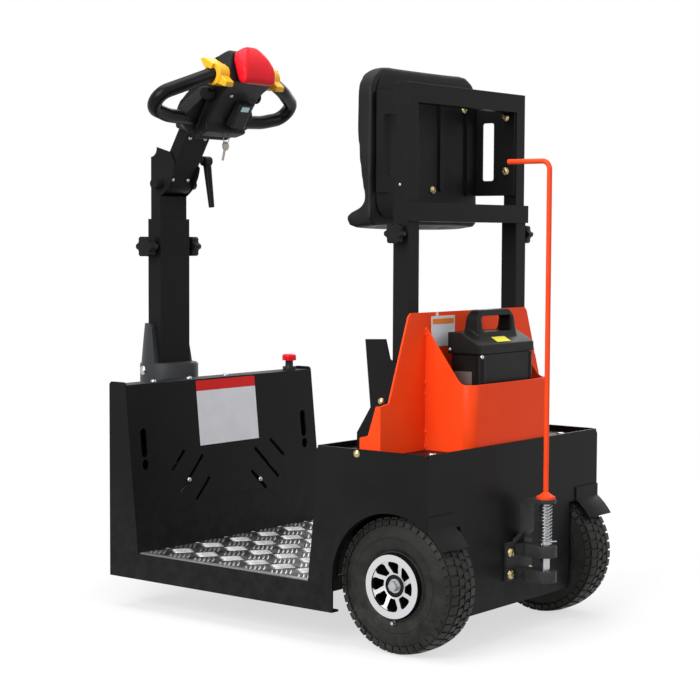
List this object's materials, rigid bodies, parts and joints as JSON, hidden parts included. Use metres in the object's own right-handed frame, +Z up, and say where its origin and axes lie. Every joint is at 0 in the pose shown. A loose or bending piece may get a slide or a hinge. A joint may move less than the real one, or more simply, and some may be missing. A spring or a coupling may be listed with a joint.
{
  "type": "stand-on electric baggage tug",
  "caption": "Compact stand-on three-wheel electric tow tractor with a tiller, lean seat, drop-in battery and rear pin hitch.",
  "frame": {"origin": "on the floor under the middle of the whole machine's length and width", "axes": "+X forward, +Y to the left, +Z up"},
  "size_m": [1.143, 0.6, 1.1731],
  "materials": {
    "black_paint": "semi-gloss powder coat",
    "orange_paint": "gloss powder coat",
    "checker_plate": "embossed tread plate",
    "bright_strip": "brushed",
    "grey_casting": "satin grey casting",
    "axle_steel": "dark cast",
    "tyre_rubber": "block tread rubber",
    "rim_alloy": "machined face over black",
    "black_plastic": "moulded",
    "battery_plastic": "moulded",
    "grip_rubber": "smooth grip",
    "red_plastic": "gloss",
    "yellow_plastic": "gloss",
    "display_plastic": "gloss",
    "pad_foam": "self-skin foam",
    "zinc_steel": "zinc plated",
    "hitch_paint": "dark grey paint",
    "red_rod": "orange-red paint"
  },
  "bodies": {
    "chassis": {"left_side_plate": "black_paint", "right_side_plate": "black_paint", "rear_panel": "black_paint", "nose_panel": "black_paint", "rear_deck": "black_paint", "wheel_wells": "black_paint", "shield_panel": "black_paint", "front_cover": "black_paint", "floor_plate": "checker_plate", "floor_edge_strips": "bright_strip", "floor_rails": "black_paint", "floor_cross_members": "black_paint", "steering_bracket": "black_paint", "rear_axle": "axle_steel", "drive_motor": "axle_steel", "axle_mounts": "black_paint", "mudguard_flaps": "black_paint", "emergency_stop": "red_plastic", "seat_posts": "black_paint", "seat_crossbar": "black_paint", "post_brackets": "black_paint", "post_knobs": "black_plastic", "battery_holder": "orange_paint", "battery_case": "battery_plastic", "battery_lid": "battery_plastic", "hitch_bracket": "hitch_paint"},
    "rear_left_wheel": {"rear_left_tyre": "tyre_rubber", "rear_left_rim": "rim_alloy", "rear_left_hub": "black_plastic"},
    "rear_right_wheel": {"rear_right_tyre": "tyre_rubber", "rear_right_rim": "rim_alloy", "rear_right_hub": "black_plastic"},
    "steering": {"front_fork": "black_paint", "steering_base": "grey_casting", "column_outer_tube": "black_paint", "column_knobs": "black_plastic"},
    "front_wheel": {"front_tyre": "tyre_rubber", "front_rim": "rim_alloy"},
    "column_slider": {"column_inner_tube": "black_paint"},
    "tiller": {"tiller_stem": "black_paint", "tiller_head": "black_plastic", "handle_loops": "grip_rubber", "belly_button": "red_plastic", "thumb_switches": "yellow_plastic", "display_unit": "display_plastic", "clamp_lever": "black_plastic"},
    "seat": {"seat_frame": "black_paint", "seat_brackets": "black_paint", "seat_pan": "black_plastic", "seat_pad": "pad_foam"},
    "tow_pin": {"hitch_pin": "red_rod", "hitch_spring": "zinc_steel"}
  },
  "joints": [
    {"name": "rear_left_roll", "type": "hinge", "parent": "chassis", "child": "rear_left_wheel", "pos_m": [-0.4035, 0.245, 0.13], "axis": [0, 1, 0], "continuous": true},
    {"name": "rear_right_roll", "type": "hinge", "parent": "chassis", "child": "rear_right_wheel", "pos_m": [-0.4035, -0.245, 0.13], "axis": [0, 1, 0], "continuous": true},
    {"name": "steer", "type": "hinge", "parent": "chassis", "child": "steering", "pos_m": [0.4415, 0, 0.35], "axis": [0, 0, 1], "range_deg": [-45, 45]},
    {"name": "front_roll", "type": "hinge", "parent": "steering", "child": "front_wheel", "pos_m": [0.4415, 0, 0.13], "axis": [0, 1, 0], "continuous": true},
    {"name": "column_height", "type": "slide", "parent": "steering", "child": "column_slider", "axis": [0, 0, 1], "range_m": [-0.04, 0.12]},
    {"name": "tiller_tilt", "type": "hinge", "parent": "column_slider", "child": "tiller", "pos_m": [0.4265, 0, 0.883], "axis": [0, 1, 0], "range_deg": [-20, 30]},
    {"name": "seat_height", "type": "slide", "parent": "chassis", "child": "seat", "axis": [0, 0, 1], "range_m": [0, 0.12]},
    {"name": "tow_pin_lift", "type": "slide", "parent": "chassis", "child": "tow_pin", "axis": [0, 0, 1], "range_m": [0, 0.037], "stiffness_N_per_m": 600, "springref_m": -0.02, "deforming": ["hitch_spring"]}
  ]
}
